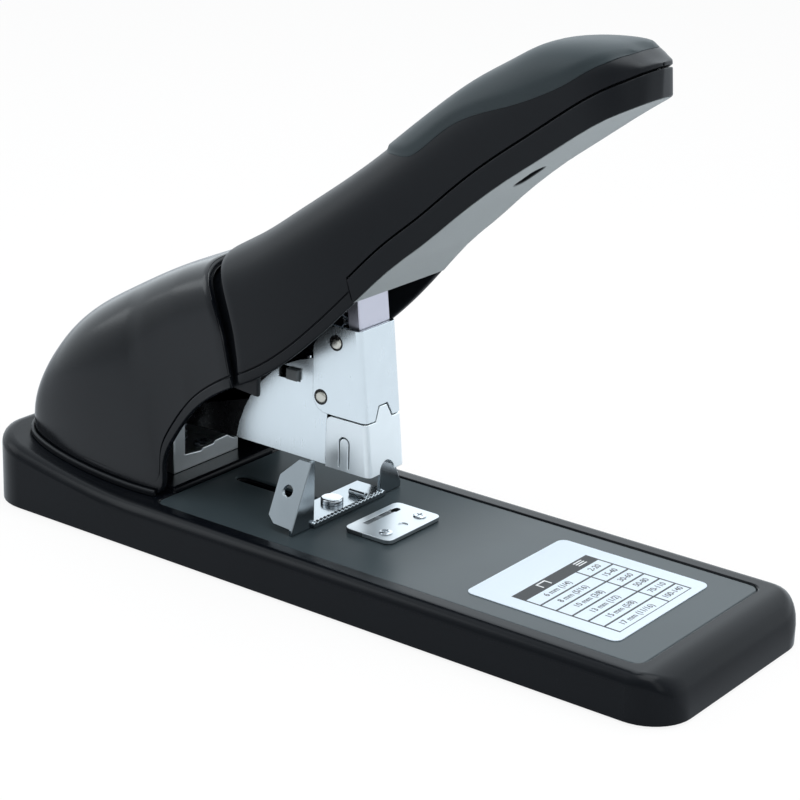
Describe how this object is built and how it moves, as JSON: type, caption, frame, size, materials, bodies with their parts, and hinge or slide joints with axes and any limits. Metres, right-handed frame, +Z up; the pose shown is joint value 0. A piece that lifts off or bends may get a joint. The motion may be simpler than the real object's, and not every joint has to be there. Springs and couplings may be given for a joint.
{
  "type": "desktop stapler",
  "caption": "Heavy-duty desktop stapler with a long lever handle, sprung arm, front-loading magazine drawer, sliding paper guide and clinching anvil on a long base.",
  "frame": {"origin": "centre of the base's footprint, on the table", "axes": "+X along the base from the rear cover to the front end, +Y across, +Z up"},
  "size_m": [0.29, 0.092, 0.1958],
  "materials": {
    "satin_black": "satin black moulding",
    "black_plastic": "fine-grained black moulding",
    "black_paint": "black enamel on steel",
    "mat_grey": "smooth grey mat",
    "soft_grey": "soft dark grey grip",
    "panel_grey": "light grey moulding",
    "bright_plate": "bright plated sheet steel",
    "steel": "plain zinc-plated steel",
    "cast_block": "pale grey casting",
    "card_white": "white printed card",
    "foot_rubber": "black rubber"
  },
  "bodies": {
    "base": {"base_shell": "black_plastic", "base_mat": "mat_grey", "chart_card": "card_white", "bottom_plate": "steel", "rubber_feet": "foot_rubber", "bottom_screws": "steel", "anvil_plate": "bright_plate", "anvil_screws": "steel", "chassis": "steel", "chassis_screws": "steel", "rear_cover": "satin_black", "foot_rim": "black_plastic", "arm_pin": "steel", "handle_pin": "steel", "lift_spring": "steel", "return_spring": "steel"},
    "guide": {"paper_guide": "steel", "guide_screw": "steel", "guide_nut": "steel"},
    "arm": {"arm_frame": "black_paint", "side_plate_left": "bright_plate", "side_plate_right": "bright_plate", "head_cover": "bright_plate", "head_rivets": "steel", "driver_spring": "steel"},
    "release": {"release_bar": "soft_grey"},
    "magazine": {"magazine_channel": "steel", "staple_rail": "steel", "nose_cap": "bright_plate", "pusher_spring": "steel"},
    "pusher": {"staple_pusher": "steel"},
    "driver": {"driver_block": "cast_block", "driver_blade": "steel"},
    "handle": {"handle_shell": "satin_black", "handle_neck": "black_plastic", "handle_band": "satin_black", "handle_panel": "panel_grey", "handle_grip": "soft_grey", "handle_lever": "steel", "drive_pin": "steel", "panel_screw": "steel"}
  },
  "joints": [
    {"name": "handle_hinge", "type": "hinge", "parent": "base", "child": "handle", "pos_m": [-0.1, 0, 0.066], "axis": [0, 1, 0], "range_deg": [0, 20], "stiffness_Nm_per_rad": 3, "springref_deg": -45.84, "deforming": ["return_spring"]},
    {"name": "arm_hinge", "type": "hinge", "parent": "base", "child": "arm", "pos_m": [-0.104, 0, 0.038], "axis": [0, 1, 0], "range_deg": [0, 9], "stiffness_Nm_per_rad": 1.5, "springref_deg": -22.92, "deforming": ["lift_spring"]},
    {"name": "driver_slide", "type": "slide", "parent": "arm", "child": "driver", "axis": [0.1045, 0, -0.9945], "range_m": [0, 0.0177], "stiffness_N_per_m": 300, "springref_m": -0.01, "deforming": ["driver_spring"]},
    {"name": "magazine_slide", "type": "slide", "parent": "arm", "child": "magazine", "axis": [-1, 0, 0], "range_m": [-0.05, 0]},
    {"name": "pusher_slide", "type": "slide", "parent": "magazine", "child": "pusher", "axis": [-1, 0, 0], "range_m": [0, 0.03], "stiffness_N_per_m": 60, "springref_m": -0.02, "deforming": ["pusher_spring"]},
    {"name": "release_slide", "type": "slide", "parent": "arm", "child": "release", "axis": [-1, 0, 0], "range_m": [0, 0.004], "stiffness_N_per_m": 400, "springref_m": -0.003},
    {"name": "guide_slide", "type": "slide", "parent": "base", "child": "guide", "axis": [1, 0, 0], "range_m": [-0.04, 0]}
  ],
  "couplings": [
    {"joint": "arm_hinge", "follows": "handle_hinge", "ratio": 0.45},
    {"joint": "driver_slide", "follows": "handle_hinge", "m_per_rad": 0.050707}
  ]
}
